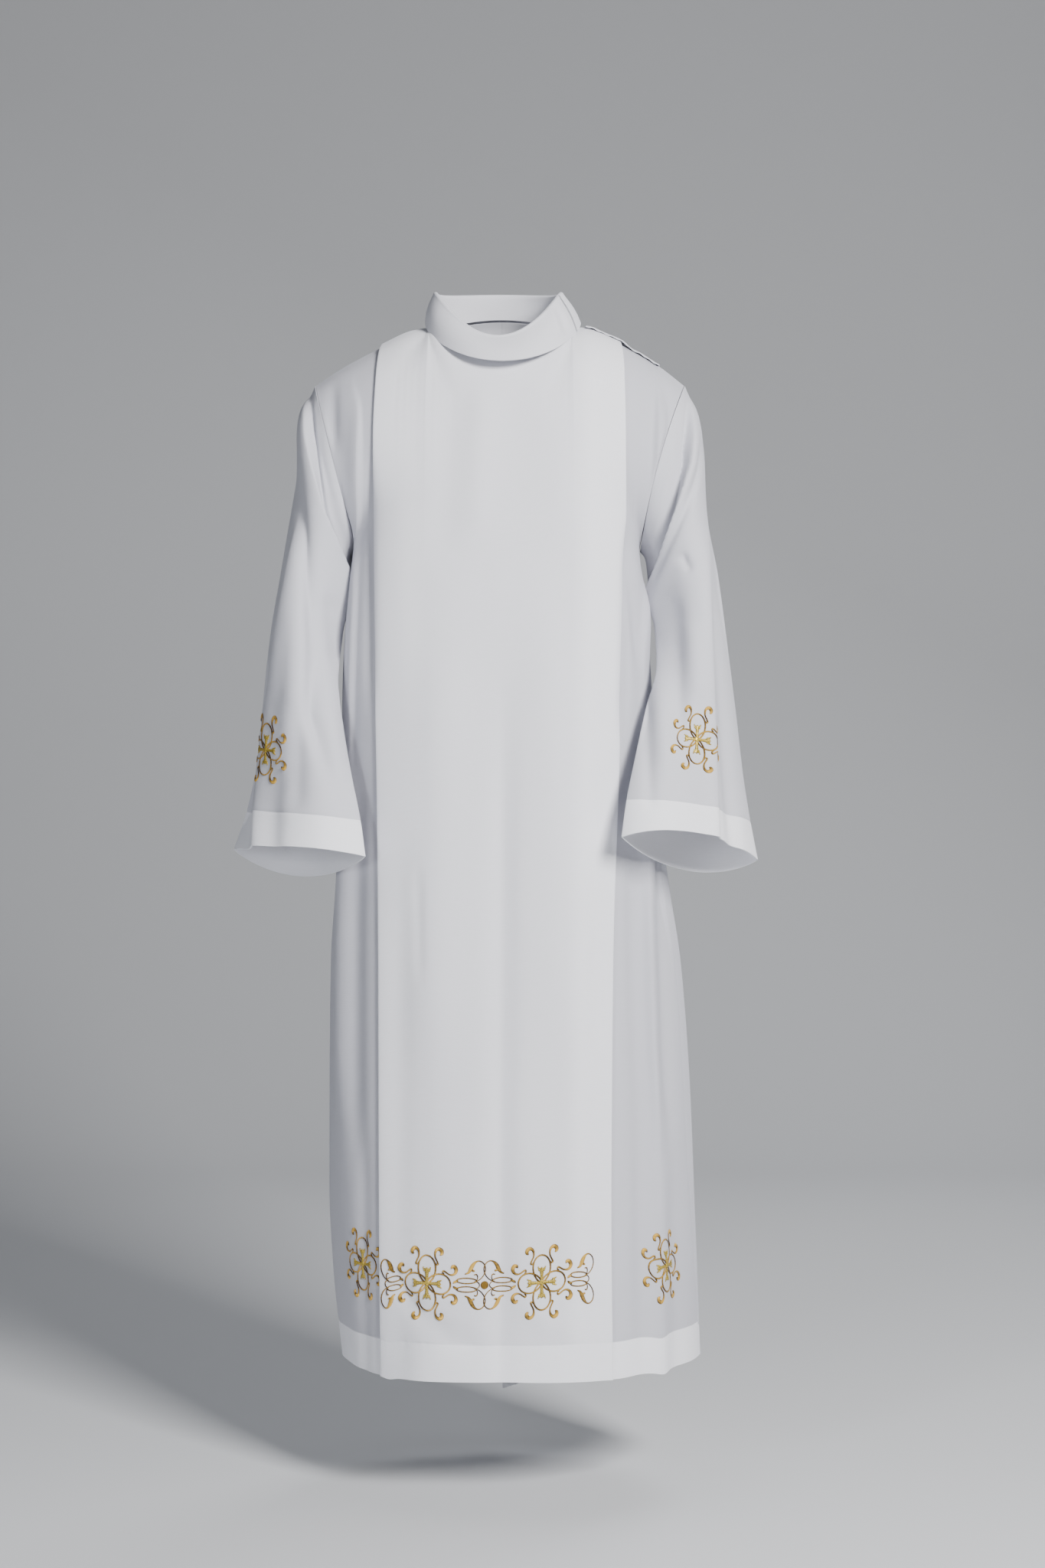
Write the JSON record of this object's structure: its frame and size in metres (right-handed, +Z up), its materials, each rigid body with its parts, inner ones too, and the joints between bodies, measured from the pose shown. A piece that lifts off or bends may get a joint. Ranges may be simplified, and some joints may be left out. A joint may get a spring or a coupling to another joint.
{
  "type": "alb robe",
  "caption": "Ankle-length white alb hanging open at neck, hem and cuffs, with a turned-down collar, long front pleats and bell sleeves.",
  "frame": {"origin": "middle of the neck, level with the shoulder seams at the neck: where the wearer's shoulders or a stand hold it", "axes": "+Z up, +Y towards the back, -Y out of the front, +X to the wearer's left"},
  "size_m": [0.677, 0.337, 1.4742],
  "materials": {
    "front": "plain woven polyester, matt with a soft sheen",
    "back_right": "plain woven polyester, matt with a soft sheen",
    "back_left": "plain woven polyester, matt with a soft sheen",
    "sleeve_right": "plain woven polyester, matt with a soft sheen",
    "sleeve_left": "plain woven polyester, matt with a soft sheen",
    "collar": "plain woven polyester over a stiffening, matt",
    "shoulder_strip": "plain woven polyester, matt with a soft sheen"
  },
  "bodies": {
    "root": {"front": "front", "back_right": "back_right", "back_left": "back_left", "sleeve_right": "sleeve_right", "sleeve_left": "sleeve_left", "collar": "collar", "shoulder_strip": "shoulder_strip"}
  },
  "joints": []
}
